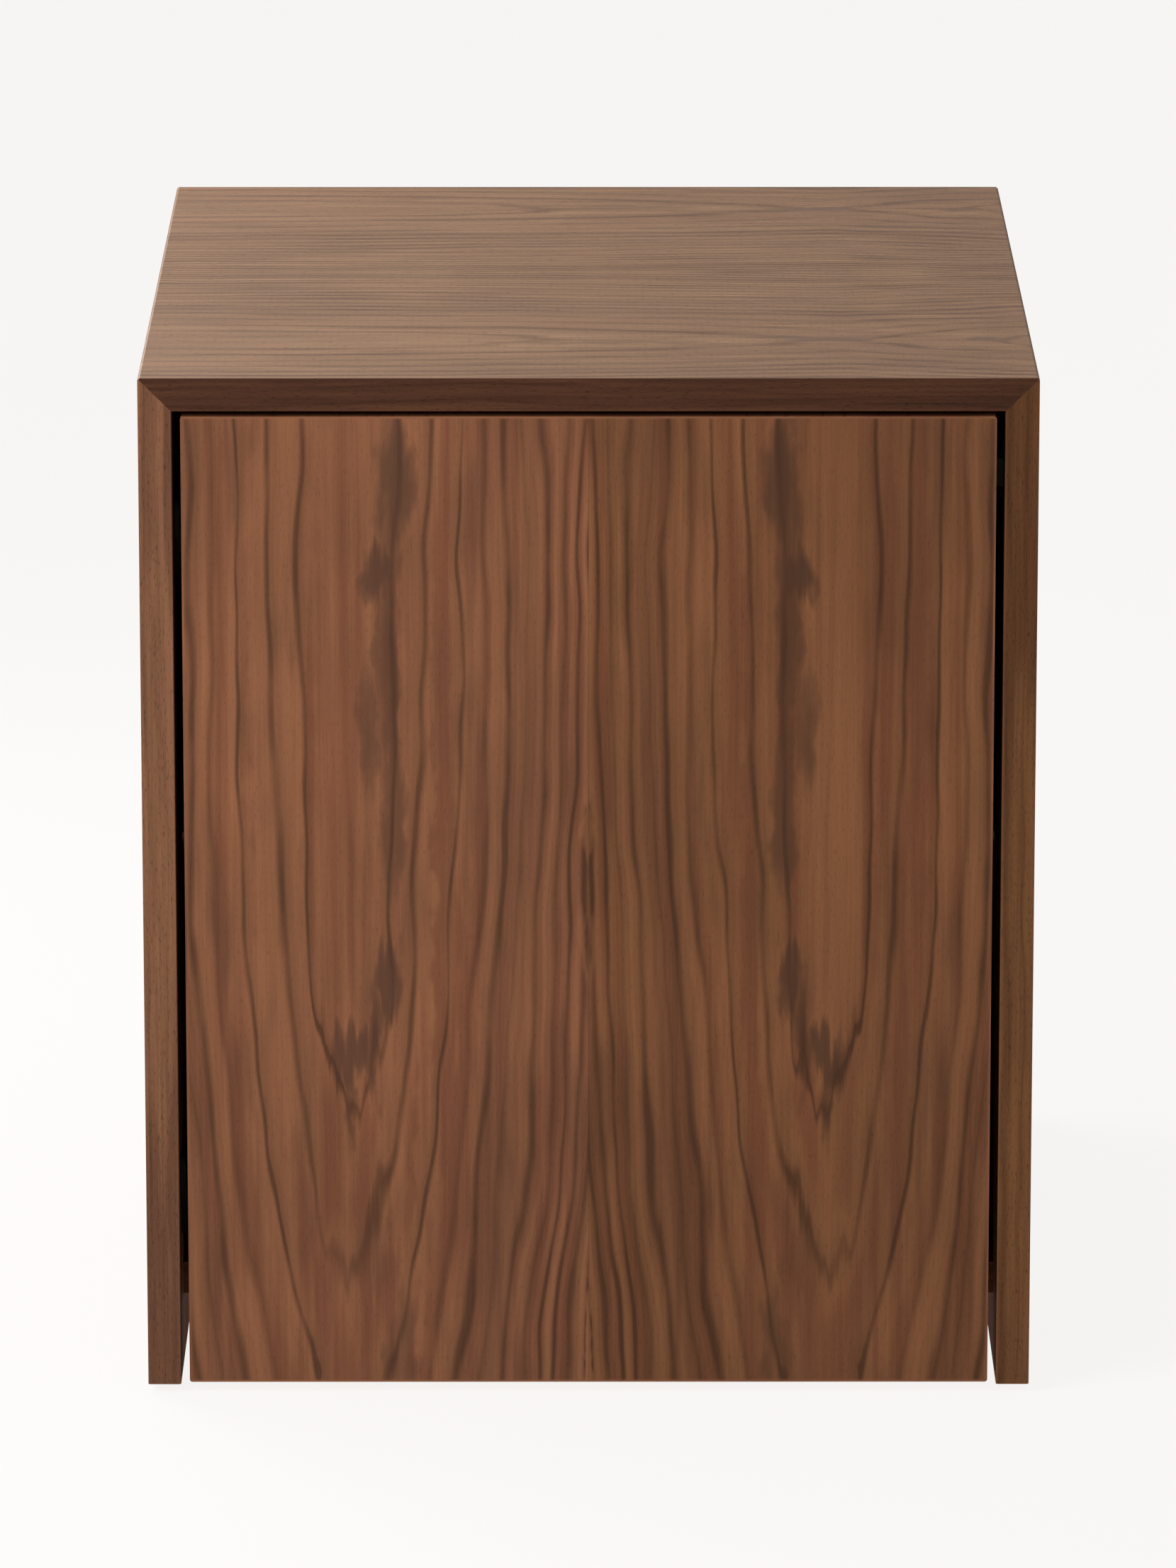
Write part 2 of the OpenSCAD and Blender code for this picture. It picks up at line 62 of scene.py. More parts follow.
def case_arris(middle, run, length):
    """Rounds the long outer arrises, and none where boards and bands are glued together."""
    along_y = abs(run.y) > ALONG_AXIS
    on_outside = abs(middle.x) > case_side - CLOSE
    if middle.z < case_foot + CLOSE and (along_y or on_outside):
        return 1.0
    near_side = abs(abs(middle.x) - case_side) < ARRIS_CUT + CLOSE
    near_corner = near_side and middle.z > case_top - ARRIS_CUT - CLOSE
    on_mitre = abs(middle.z - (case_top - ARRIS_CUT / 2)) < CLOSE / 2
    return 0.2 if along_y and near_corner and not on_mitre else 0.0


SAME_POINT = 2e-6
SAME_PLANE = math.radians(0.4)
ARRIS_ANGLE = math.radians(25)


def eased(node, name, round_over, width, segments=3):
    """The part's outline as a new mesh. round_over gives how much of width each edge is rounded
    by, from its middle, its direction and its length."""
    shape = bmesh.new()
    shape.from_mesh(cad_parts[node].data)
    bmesh.ops.remove_doubles(shape, verts=shape.verts, dist=SAME_POINT)
    bmesh.ops.dissolve_limit(
        shape, angle_limit=SAME_PLANE, verts=shape.verts, edges=shape.edges
    )
    weight = shape.edges.layers.float.new("bevel_weight_edge")
    for edge in shape.edges:
        if len(edge.link_faces) == 2 and edge.calc_face_angle() > ARRIS_ANGLE:
            middle = (edge.verts[0].co + edge.verts[1].co) / 2
            run = edge.verts[1].co - edge.verts[0].co
            edge[weight] = round_over(middle, run.normalized(), run.length)
            edge.smooth = edge[weight] > 0
    mesh = bpy.data.meshes.new(name)
    shape.to_mesh(mesh)
    shape.free()
    mesh.polygons.foreach_set("use_smooth", [True] * len(mesh.polygons))
    piece = bpy.data.objects.new(name, mesh)
    bpy.context.scene.collection.objects.link(piece)
    rounding = piece.modifiers.new("rounded arrises", "BEVEL")
    rounding.limit_method = "WEIGHT"
    rounding.width = width
    rounding.segments = segments
    joined = piece.modifiers.new("joined corners", "WELD")
    joined.merge_threshold = 2 * SAME_POINT
    normals = piece.modifiers.new("flat faces", "WEIGHTED_NORMAL")
    normals.keep_sharp = True
    return piece


def fit(piece, node, body, material):
    piece.data.materials.clear()
    piece.data.materials.append(material)
    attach(piece, body)
    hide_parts(node)


def join(tree, value, socket):
    if isinstance(value, bpy.types.NodeSocket):
        tree.links.new(value, socket)
    else:
        socket.default_value = value


def calc(tree, operation, *values):
    node = tree.nodes.new("ShaderNodeMath")
    node.operation = operation
    for value, socket in zip(values, node.inputs):
        join(tree, value, socket)
    return node.outputs[0]


def fade(tree, value, start, end, low=0.0, high=1.0):
    """Runs smoothly from low to high as value goes from start to end."""
    node = tree.nodes.new("ShaderNodeMapRange")
    node.interpolation_type = "SMOOTHSTEP"
    for given, socket in zip((value, start, end, low, high), node.inputs):
        join(tree, given, socket)
    return node.outputs[0]


def mottle(tree, across, along, seed, wide, long, detail=2.0, rough=0.5):
    """Noise stretched along the grain, wide and long in metres, from 0 to 1."""
    spot = tree.nodes.new("ShaderNodeCombineXYZ")
    join(tree, calc(tree, "DIVIDE", across, wide), spot.inputs[0])
    join(tree, calc(tree, "DIVIDE", along, long), spot.inputs[1])
    join(tree, seed, spot.inputs[2])
    noise = tree.nodes.new("ShaderNodeTexNoise")
    tree.links.new(spot.outputs[0], noise.inputs["Vector"])
    noise.inputs["Scale"].default_value = 1.0
    noise.inputs["Detail"].default_value = detail
    noise.inputs["Roughness"].default_value = rough
    return noise.outputs["Fac"]


def mottle_by(tree, value, scale, seed):
    """Noise that depends on one value only, from 0 to 1."""
    noise = tree.nodes.new("ShaderNodeTexNoise")
    noise.noise_dimensions = "2D"
    spot = tree.nodes.new("ShaderNodeCombineXYZ")
    join(tree, calc(tree, "MULTIPLY", value, scale), spot.inputs[0])
    join(tree, seed, spot.inputs[1])
    tree.links.new(spot.outputs[0], noise.inputs["Vector"])
    noise.inputs["Scale"].default_value = 1.0
    noise.inputs["Detail"].default_value = 1.0
    return noise.outputs["Fac"]


def blend_colour(tree, share, first, second, mode="MIX"):
    node = tree.nodes.new("ShaderNodeMix")
    node.data_type = "RGBA"
    node.blend_type = mode
    join(tree, share, node.inputs["Factor"])
    join(tree, first, node.inputs[6])
    join(tree, second, node.inputs[7])
    return node.outputs[2]


def shader_group(name, takes, gives):
    """An empty shader group with its sockets, and its two end nodes."""
    tree = bpy.data.node_groups.new(name, "ShaderNodeTree")
    kinds = {"value": "NodeSocketFloat", "colour": "NodeSocketColor"}
    for label, kind in takes:
        tree.interface.new_socket(label, in_out="INPUT", socket_type=kinds[kind])
    for label, kind in gives:
        tree.interface.new_socket(label, in_out="OUTPUT", socket_type=kinds[kind])
    start = tree.nodes.new("NodeGroupInput")
    end = tree.nodes.new("NodeGroupOutput")
    return tree, start.outputs, end.inputs


def values_named(*labels):
    return [(label, "value") for label in labels]


# How far the slice passes from the tree's heart, where its first ring stands, and how fast
# the rings crowd together from there
RING_HEART = 0.040
RING_FIRST = 0.0645
RING_CROWDING = 2.23
# The distance from the crowns' axis at which their pull is halved, and the pull at which the
# innermost crowns end in blunt tongues
CROWN_SPREAD = 0.076
BLUNT_PULL = 0.0261


def make_ring_figure():
    """The growth rings, long dark lines that close into crowns. Across runs from the crowns'
    axis, and Along from the place where the crowns turn, in metres."""
    takes = ("Across", "Along", "Seed", "Pull", "Reach", "Wander", "Line width")
    tree, given, out = shader_group(
        "Walnut ring figure", values_named(*takes),
        values_named("Line", "Hairlines", "Smoke", "Tone"),
    )
    across, along, seed, pull, reach, wander, line_width = [given[label] for label in takes]

    def patchy(wide, long, offset, detail=2.0):
        return mottle(tree, across, along, calc(tree, "ADD", seed, offset), wide, long, detail)

    def sway(wide, long, offset, amount, detail=2.0):
        noise = patchy(wide, long, offset, detail)
        return calc(tree, "MULTIPLY", calc(tree, "SUBTRACT", noise, 0.5), amount)

    # The distance from the crowns' axis, with the tree's own waviness
    slow_wave = sway(wide=0.050, long=0.170, offset=0.0, amount=2.0)
    quick_wave = sway(wide=0.018, long=0.080, offset=11.0, amount=0.0040, detail=1.0)
    side = calc(tree, "ADD", across, calc(tree, "MULTIPLY", slow_wave, wander))
    side = calc(tree, "ADD", side, quick_wave)
    blunt_square = 9e-6
    reach_out = calc(tree, "SQRT", calc(tree, "MULTIPLY_ADD", side, side, blunt_square))

    # Fibres that ran out of true carry the rings up and down, which gives the crowns teeth
    near_axis = fade(tree, reach_out, 0.008, 0.035, low=1.0, high=0.0)
    long_teeth = sway(wide=0.010, long=0.080, offset=5.0, amount=0.075, detail=1.0)
    short_teeth = sway(wide=0.0030, long=0.050, offset=7.0, amount=0.022, detail=1.0)
    teeth = calc(tree, "ADD", long_teeth, short_teeth)
    run = calc(tree, "ADD", along, calc(tree, "MULTIPLY", teeth, near_axis))

    # Where the crowns turn, the rings close in on the axis, the innermost in blunt tongues
    fall = calc(tree, "DIVIDE", calc(tree, "ABSOLUTE", run), reach)
    blunt = fade(tree, fall, 0.75, 1.25, low=BLUNT_PULL, high=0.0)
    fall = calc(tree, "MULTIPLY", calc(tree, "POWER", fall, 1.2), -1.0)
    drawn = calc(tree, "MULTIPLY", pull, calc(tree, "EXPONENT", fall))
    spread = calc(tree, "ADD", calc(tree, "DIVIDE", reach_out, CROWN_SPREAD), 1.0)
    radius = calc(tree, "ADD", reach_out, calc(tree, "DIVIDE", drawn, spread))
    pointed = fade(tree, radius, 0.030, 0.045)
    drawn = calc(tree, "MULTIPLY_ADD", calc(tree, "SUBTRACT", drawn, blunt), pointed, blunt)
    radius = calc(tree, "ADD", reach_out, calc(tree, "DIVIDE", drawn, spread))

    # The number of rings out to there, and how far apart they stand
    scaled = calc(tree, "DIVIDE", calc(tree, "ADD", radius, RING_HEART), RING_FIRST)
    scaled = calc(tree, "MAXIMUM", scaled, 0.01)
    count = calc(tree, "POWER", scaled, RING_CROWDING)
    crowding = calc(tree, "POWER", scaled, RING_CROWDING - 1.0)
    spacing = calc(tree, "DIVIDE", RING_FIRST / RING_CROWDING, crowding)
    uneven = calc(tree, "SUBTRACT", mottle_by(tree, count, 0.8, seed), 0.5)
    count = calc(tree, "MULTIPLY_ADD", uneven, 0.5, count)

    def lot(number, offset):
        """A value from 0 to 1 drawn for each whole number."""
        draw = tree.nodes.new("ShaderNodeTexWhiteNoise")
        draw.noise_dimensions = "2D"
        spot = tree.nodes.new("ShaderNodeCombineXYZ")
        join(tree, calc(tree, "ADD", calc(tree, "FLOOR", number), 0.25), spot.inputs[0])
        join(tree, calc(tree, "ADD", calc(tree, "FLOOR", seed), offset), spot.inputs[1])
        tree.links.new(spot.outputs[0], draw.inputs["Vector"])
        return draw.outputs["Value"]

    def ring_lines(number, gap, width, shadow, weakest):
        """Dark late wood on each ring, with a softer shadow on the side towards the axis."""
        phase = calc(tree, "FRACT", number)
        before = calc(tree, "MULTIPLY", calc(tree, "SUBTRACT", 1.0, phase), gap)
        after = calc(tree, "MULTIPLY", phase, gap)
        nearest = calc(tree, "ADD", number, 0.5)
        wide = fade(tree, lot(nearest, 0.3), 0.0, 1.0, width * 0.65, width * 1.5)
        wide = calc(tree, "MULTIPLY", wide, line_width)
        wide = calc(tree, "MINIMUM", wide, calc(tree, "MULTIPLY", gap, 0.4))
        power = fade(tree, lot(nearest, 0.6), 0.0, 0.8, low=weakest, high=1.0)
        core = fade(tree, calc(tree, "MINIMUM", before, after), 0.0, wide, low=1.0, high=0.0)
        depth = calc(tree, "MINIMUM", shadow, calc(tree, "MULTIPLY", gap, 0.45))
        shade = fade(tree, before, 0.0, depth, low=0.40, high=0.0)
        return calc(tree, "MULTIPLY", calc(tree, "MAXIMUM", core, shade), power)

    # The rings' own lines, thick and thin by turns
    thick = patchy(wide=0.030, long=0.090, offset=23.0)
    line = ring_lines(count, spacing, width=0.0029, shadow=0.0095, weakest=0.50)
    line = calc(tree, "MULTIPLY", line, fade(tree, thick, 0.3, 0.7, low=0.55, high=1.25))
    tree.links.new(calc(tree, "MINIMUM", line, 1.0), out["Line"])

    # Three hairlines to a ring, plainest where the rings crowd together
    hairline = calc(tree, "MULTIPLY", count, 3.0)
    apart = calc(tree, "DIVIDE", spacing, 3.0)
    fine = ring_lines(hairline, apart, width=0.0013, shadow=0.0030, weakest=0.1)
    crowded = fade(tree, radius, 0.060, 0.150, low=0.15, high=0.75)
    tree.links.new(calc(tree, "MULTIPLY", fine, crowded), out["Hairlines"])

    # Smoky dye, in loose washes and in rings that took up more of it than the others
    wash = fade(tree, patchy(wide=0.020, long=0.120, offset=43.0), 0.50, 0.74, high=0.45)
    dark_ring = fade(tree, lot(count, 1.4), 0.62, 0.90, high=0.27)
    broken = patchy(wide=0.060, long=0.220, offset=57.0, detail=1.0)
    dark_ring = calc(tree, "MULTIPLY", dark_ring, fade(tree, broken, 0.35, 0.62, low=0.2))
    tree.links.new(calc(tree, "MAXIMUM", wash, dark_ring), out["Smoke"])

    # The ground between the lines goes from pale wood to heartwood, ring by ring
    drift = mottle_by(tree, count, 0.9, calc(tree, "ADD", seed, 3.0))
    drift = calc(tree, "MULTIPLY", drift, 0.78)
    tone = calc(tree, "MULTIPLY_ADD", lot(count, 0.8), 0.22, drift)
    stripe = sway(wide=0.0065, long=0.260, offset=51.0, amount=0.55, detail=1.5)
    tree.links.new(calc(tree, "ADD", tone, stripe), out["Tone"])
    return tree


def make_wood_fibre():
    """Streaks a millimetre or so wide, open pores, and slow clouds of darker wood."""
    takes = ("Across", "Along", "Seed")
    tree, given, out = shader_group(
        "Walnut fibre and pores", values_named(*takes), values_named("Streak", "Pore", "Cloud")
    )

    def grain(offset, wide, long, detail, rough=0.5):
        seed = calc(tree, "ADD", given["Seed"], offset)
        return mottle(tree, given["Across"], given["Along"], seed, wide, long, detail, rough)

    fine = grain(offset=0.0, wide=0.0011, long=0.060, detail=3.0, rough=0.62)
    broad = grain(offset=5.0, wide=0.0042, long=0.130, detail=2.0)
    broad = calc(tree, "MULTIPLY", broad, 0.4)
    streak = calc(tree, "ADD", calc(tree, "MULTIPLY", fine, 0.6), broad)
    tree.links.new(fade(tree, streak, 0.32, 0.68), out["Streak"])
    pore = grain(offset=9.0, wide=0.00042, long=0.0042, detail=1.0)
    tree.links.new(fade(tree, pore, 0.60, 0.72), out["Pore"])
    cloud = grain(offset=17.0, wide=0.060, long=0.150, detail=2.0)
    tree.links.new(fade(tree, cloud, 0.3, 0.7), out["Cloud"])
    return tree


ring_figure = make_ring_figure()
wood_fibre = make_wood_fibre()

WOOD_COLOURS = ("Pale wood", "Heartwood", "Late wood", "Dye")


def make_walnut():
    """The rings and the fibre laid over each other in one board's colours."""
    takes = values_named(
        "Across", "Along", "Seed", "Pull", "Reach", "Wander", "Line width", "Contrast",
        "Hairline share", "Fibre", "Tone shift",
    )
    takes += [(label, "colour") for label in WOOD_COLOURS]
    gives = [("Colour", "colour"), *values_named("Roughness", "Height")]
    tree, given, out = shader_group("Walnut veneer", takes, gives)

    figure = tree.nodes.new("ShaderNodeGroup")
    figure.node_tree = ring_figure
    fibre = tree.nodes.new("ShaderNodeGroup")
    fibre.node_tree = wood_fibre
    for node in (figure, fibre):
        for socket in node.inputs:
            tree.links.new(given[socket.name], socket)

    def share_of(mask, most):
        return calc(tree, "MULTIPLY", calc(tree, "MULTIPLY", mask, given["Contrast"]), most)

    tone = calc(tree, "ADD", figure.outputs["Tone"], given["Tone shift"])
    tone = fade(tree, tone, 0.34, 0.66)
    colour = blend_colour(tree, tone, given["Pale wood"], given["Heartwood"])
    for mask, most, wood in (
        (fibre.outputs["Cloud"], 0.22, "Late wood"),
        (figure.outputs["Hairlines"], given["Hairline share"], "Late wood"),
        (figure.outputs["Smoke"], 0.80, "Dye"),
        (figure.outputs["Line"], 0.78, "Late wood"),
    ):
        colour = blend_colour(tree, share_of(mask, most), colour, given[wood])

    # Streaks and pores shade the colour, and pores are also rougher and lower
    streak = calc(tree, "SUBTRACT", fibre.outputs["Streak"], 0.5)
    streak = calc(tree, "MULTIPLY", calc(tree, "MULTIPLY", streak, 0.24), given["Fibre"])
    pores = calc(tree, "MULTIPLY", fibre.outputs["Pore"], 0.30)
    pores = calc(tree, "MULTIPLY", pores, given["Fibre"])
    shade = calc(tree, "SUBTRACT", 1.0, streak)
    shade = calc(tree, "MULTIPLY", shade, calc(tree, "SUBTRACT", 1.0, pores))
    tint = tree.nodes.new("ShaderNodeCombineColor")
    for socket in tint.inputs:
        join(tree, shade, socket)
    colour = blend_colour(tree, 1.0, colour, tint.outputs[0], "MULTIPLY")
    tree.links.new(colour, out["Colour"])
    rough = calc(tree, "MULTIPLY_ADD", fibre.outputs["Streak"], 0.08, 0.44)
    rough = calc(tree, "MULTIPLY_ADD", fibre.outputs["Pore"], 0.16, rough)
    tree.links.new(rough, out["Roughness"])
    height = calc(tree, "MULTIPLY_ADD", fibre.outputs["Streak"], -0.35, 1.0)
    tree.links.new(calc(tree, "SUBTRACT", height, fibre.outputs["Pore"]), out["Height"])
    return tree


walnut_group = make_walnut()


def make_rubbed_arris():
    """How near a point of a board is to one of the board's arrises, 1 on the arris."""
    sides = [f"{end} {axis}" for end in ("Low", "High") for axis in "XYZ"]
    tree, given, out = shader_group(
        "Rubbed arris", values_named(*sides, "Width"), values_named("Arris")
    )
    split = tree.nodes.new("ShaderNodeSeparateXYZ")
    tree.links.new(tree.nodes.new("ShaderNodeTexCoord").outputs["Object"], split.inputs[0])
    gaps = []
    for axis, spot in zip("XYZ", split.outputs):
        below = calc(tree, "SUBTRACT", spot, given[f"Low {axis}"])
        above = calc(tree, "SUBTRACT", given[f"High {axis}"], spot)
        gaps.append(calc(tree, "ABSOLUTE", calc(tree, "MINIMUM", below, above)))
    nearest = calc(tree, "MINIMUM", gaps[0], gaps[1])
    other = calc(tree, "MAXIMUM", gaps[0], gaps[1])
    second = calc(tree, "MAXIMUM", nearest, calc(tree, "MINIMUM", other, gaps[2]))
    arris = fade(tree, second, 0.0, given["Width"], low=1.0, high=0.0)
    tree.links.new(arris, out["Arris"])
    return tree


rubbed_arris = make_rubbed_arris()


def lacquered(name, gloss=0.10):
    """A new material with the fixed values of thin matt lacquer on its shader."""
    material = bpy.data.materials.new(name)
    material.use_nodes = True
    shader = material.node_tree.nodes["Principled BSDF"]
    shader.inputs["IOR"].default_value = 1.5
    shader.inputs["Specular IOR Level"].default_value = gloss
    return material, material.node_tree, shader


def add_bump(tree, height, shader, depth, strength=1.0):
    bump = tree.nodes.new("ShaderNodeBump")
    bump.inputs["Strength"].default_value = strength
    bump.inputs["Distance"].default_value = depth
    tree.links.new(height, bump.inputs["Height"])
    tree.links.new(bump.outputs[0], shader.inputs["Normal"])


def board_axes(tree, across, along):
    """The place on a piece across and along the grain, from the names of its axes."""
    split = tree.nodes.new("ShaderNodeSeparateXYZ")
    tree.links.new(tree.nodes.new("ShaderNodeTexCoord").outputs["Object"], split.inputs[0])
    return split.outputs["XYZ".index(across)], split.outputs["XYZ".index(along)]


MM_PER_METRE = 1000


def patch_mask(tree, side, run, leaf, patches):
    """Patches with edges pulled out into flames along the grain. Each is the place along the
    grain, the place across from the crowns' axis, half the length and half the width, in
    millimetres, and how strong it is."""
    def pulled(wide, long, offset, amount):
        noise = mottle(tree, side, run, calc(tree, "ADD", leaf, offset), wide, long)
        return calc(tree, "MULTIPLY", calc(tree, "SUBTRACT", noise, 0.5), amount)

    across = calc(tree, "ADD", side, pulled(wide=0.011, long=0.026, offset=61.0, amount=0.018))
    along = calc(tree, "ADD", run, pulled(wide=0.005, long=0.050, offset=67.0, amount=0.070))
    mask = 0.0
    for place, offset, half_length, half_width, depth in patches:
        up = calc(tree, "SUBTRACT", along, place / MM_PER_METRE)
        up = calc(tree, "DIVIDE", up, half_length / MM_PER_METRE)
        out = calc(tree, "SUBTRACT", across, offset / MM_PER_METRE)
        out = calc(tree, "DIVIDE", out, half_width / MM_PER_METRE)
        far = calc(tree, "MULTIPLY_ADD", up, up, calc(tree, "MULTIPLY", out, out))
        mask = calc(tree, "MAXIMUM", mask, fade(tree, far, 0.1, 1.5, low=depth, high=0.0))
    return mask


PORE_DEPTH = 0.00012
PORE_STRENGTH = 0.35
RUBBED_WIDTH = 0.0014
RUBBED_SHARE = 0.18
SEAM_EDGES = (0.0001, 0.0004)
SEAM_DARKNESS = 0.35
LEAF_SEED_STEP = 0.20


def walnut(name, node, woods, seed, across, along, axis=0.0, turn=0.0, mirrored=None, pull=0.0,
           reach=0.20, lean=1.0, wander=0.010, line_width=1.0, contrast=1.0, hairlines=0.32,
           fibre=1.0, second_leaf_shade=0.0, patches=None, gloss=0.10):
    """Veneer for one board, whose axes across and along the grain are named. The crowns lie on
    axis and turn at turn, pull and reach shape them, and lean shortens the far ones. mirrored
    is the seam of a pair of leaves, and second_leaf_shade is how much painted shade darkens
    the second one. patches lists the redder, the paler and the dyed patches and the pale slivers."""
    material, tree, shader = lacquered(name, gloss)
    side, run = board_axes(tree, across, along)
    run = calc(tree, "SUBTRACT", run, turn)
    leaf = seed
    if mirrored is not None:
        from_seam = calc(tree, "SUBTRACT", side, mirrored)
        second = calc(tree, "GREATER_THAN", from_seam, 0.0)
        leaf = calc(tree, "MULTIPLY_ADD", second, LEAF_SEED_STEP, seed)
        side = calc(tree, "ABSOLUTE", from_seam)
    side = calc(tree, "SUBTRACT", side, axis)
    run = calc(tree, "MAXIMUM", run, calc(tree, "MULTIPLY", run, lean))
    veneer = tree.nodes.new("ShaderNodeGroup")
    veneer.node_tree = walnut_group
    values = {"Across": side, "Along": run, "Seed": leaf, "Pull": pull, "Reach": reach,
              "Wander": wander, "Line width": line_width, "Contrast": contrast,
              "Hairline share": hairlines, "Fibre": fibre}
    values.update(zip(WOOD_COLOURS, woods))
    for label, value in values.items():
        join(tree, value, veneer.inputs[label])
    pale_wood, _, late_wood, dye = woods
    colour = veneer.outputs["Colour"]
    if patches:
        redder, paler, dyed, slivers = [
            patch_mask(tree, side, run, leaf, kind) for kind in patches
        ]
        shift = calc(tree, "SUBTRACT", redder, paler)
        if mirrored is not None:
            # Lit from the other side of its fibres, the second leaf reverses these patches:
            # painted light and shade in its tone
            painted_leaf_reversal = calc(tree, "MULTIPLY_ADD", second, -1.5, 1.0)
            shift = calc(tree, "MULTIPLY", shift, painted_leaf_reversal)
        join(tree, shift, veneer.inputs["Tone shift"])
        colour = blend_colour(tree, dyed, colour, dye)
        colour = blend_colour(tree, slivers, colour, pale_wood)
    if mirrored is not None:
        # The second leaf is turned over, so its fibres lean away from the light: painted shade
        # darkens it, blue the most
        painted_leaf_shade = (1 - second_leaf_shade, 1 - second_leaf_shade, 1 - 1.6 * second_leaf_shade, 1)
        colour = blend_colour(tree, second, colour, painted_leaf_shade, "MULTIPLY")
        beside = calc(tree, "ABSOLUTE", from_seam)
        seam = fade(tree, beside, *SEAM_EDGES, low=SEAM_DARKNESS, high=0.0)
        colour = blend_colour(tree, seam, colour, late_wood)
    arris = tree.nodes.new("ShaderNodeGroup")
    arris.node_tree = rubbed_arris
    for label, corner in zip(("Low", "High"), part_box(node)):
        for axis_name, value in zip("XYZ", corner):
            arris.inputs[f"{label} {axis_name}"].default_value = value
    arris.inputs["Width"].default_value = RUBBED_WIDTH
    rubbed = calc(tree, "MULTIPLY", arris.outputs[0], RUBBED_SHARE)
    colour = blend_colour(tree, rubbed, colour, pale_wood)
    tree.links.new(colour, shader.inputs["Base Color"])
    tree.links.new(veneer.outputs["Roughness"], shader.inputs["Roughness"])
    add_bump(tree, veneer.outputs["Height"], shader, PORE_DEPTH, PORE_STRENGTH)
    return material


# Each wood's pale, heart and late wood, and the dye in its smoky patches
# The top's walnut is paler and greyer than the sides': painted sheen and painted light from above
TOP_WALNUT_WITH_PAINTED_SHEEN = (
    (0.324, 0.177, 0.089, 1), (0.282, 0.147, 0.075, 1),
    (0.096, 0.045, 0.024, 1), (0.170, 0.096, 0.054, 1),
)
RED_WALNUT = (
    (0.238, 0.096, 0.045, 1), (0.172, 0.062, 0.031, 1),
    (0.058, 0.0240, 0.0125, 1), (0.067, 0.031, 0.0190, 1),
)

# The redder and the paler patches, the dark knots where the crowns meet, and no slivers
TOP_PATCHES = (
    ((-60, -60, 120, 22, 0.10), (40, 70, 90, 20, 0.08)),
    ((-230, 2, 130, 22, 0.14), (-60, 0, 70, 10, 0.06)),
    ((0, 0, 30, 5, 1.00), (-22, -7, 44, 3, 0.85), (-120, 8, 60, 4, 0.60),
     (150, -2, 24, 7, 1.00), (120, 60, 90, 12, 0.12)),
    (),
)
# The top's veneer colours carry painted sheen and painted light from above
top_board = eased("top_panel", "top_board", case_arris, FOOT_ROUND)
fit(top_board, "top_panel", "case",
    walnut("walnut top veneer", "top_panel", TOP_WALNUT_WITH_PAINTED_SHEEN, 4.2, "Y", "X", axis=0.200,
           turn=0.148, mirrored=0.018, pull=0.0495, lean=1.9, wander=0.008, line_width=2.1,
           contrast=0.88, hairlines=0.10, fibre=1.5, patches=TOP_PATCHES, gloss=0.30))

for side, seed in (("left", 7.3), ("right", 9.1)):
    node = f"{side}_side_panel"
    board = eased(node, f"{side}_side_board", case_arris, FOOT_ROUND)
    fit(board, node, "case",
        walnut(f"walnut {side} side veneer", node, RED_WALNUT, seed, "Y", "Z", axis=0.150,
               turn=0.02, mirrored=0.0, pull=0.055, contrast=0.85, second_leaf_shade=0.06))

# ---- Bands on the case's front and rear edges ----
# Strips of solid walnut, 1 mm thick, glued over the boards' raw edges and
# mitred with them. The strips over the top are cut from darker wood.

BROWN_WALNUT = (
    (0.192, 0.085, 0.043, 1), (0.131, 0.055, 0.029, 1),
    (0.055, 0.020, 0.010, 1), (0.065, 0.030, 0.019, 1),
)
UMBER_WALNUT = (
    (0.150, 0.062, 0.0235, 1), (0.100, 0.039, 0.0140, 1),
    (0.038, 0.013, 0.005, 1), (0.045, 0.018, 0.009, 1),
)
DARK_WALNUT = (
    (0.076, 0.0290, 0.0135, 1), (0.050, 0.0185, 0.0095, 1),
    (0.020, 0.006, 0.003, 1), (0.026, 0.009, 0.006, 1),
)


def band_arris(middle, run, length):
    """Eases the front and rear arrises, but not the mitres, and the outer ones as the boards'."""
    on_face = abs(abs(middle.y) - abs(case_front)) < CLOSE
    square_to_case = max(abs(run.x), abs(run.z)) > ALONG_AXIS
    if on_face:
        return 0.45 if square_to_case else 0.0
    return case_arris(middle, run, length)


# The redder and the paler lengths of the upright bands
LEFT_PATCHES = (((20, 105, 150, 60, 0.3),), ((330, 105, 150, 60, 0.3),), (), ())
RIGHT_PATCHES = (((560, 95, 140, 60, 0.25),), ((170, 95, 260, 60, 0.25),), (), ())
for end in ("front", "rear"):
    for place, woods, seed, across, along, from_heart, patches in (
        ("top", DARK_WALNUT, 12.4, "Z", "X", 0.47, None),
        ("left", BROWN_WALNUT, 15.7, "X", "Z", -0.345, LEFT_PATCHES),
        ("right", UMBER_WALNUT, 18.2, "X", "Z", 0.145, RIGHT_PATCHES),
    ):
        node = f"{end}_{place}_band"
        band = eased(node, f"{end}_{place}_edge_band", band_arris, FOOT_ROUND)
        fit(band, node, "case",
            walnut(f"walnut {end} {place} band", node, woods, seed, across, along,
                   axis=from_heart, contrast=0.45, wander=0.006, fibre=1.5, patches=patches))

# ---- Bottom board, shelf and back ----
# Plain-sliced walnut boards inside the case. The bottom board is held by
# dowels and cams, the shelf lies on pins, and the back slides in a groove.

INNER_ROUND = 0.0005
INNER_BAND_ROUND = 0.0004


def inner_arris(middle, run, length):
    return 0.5


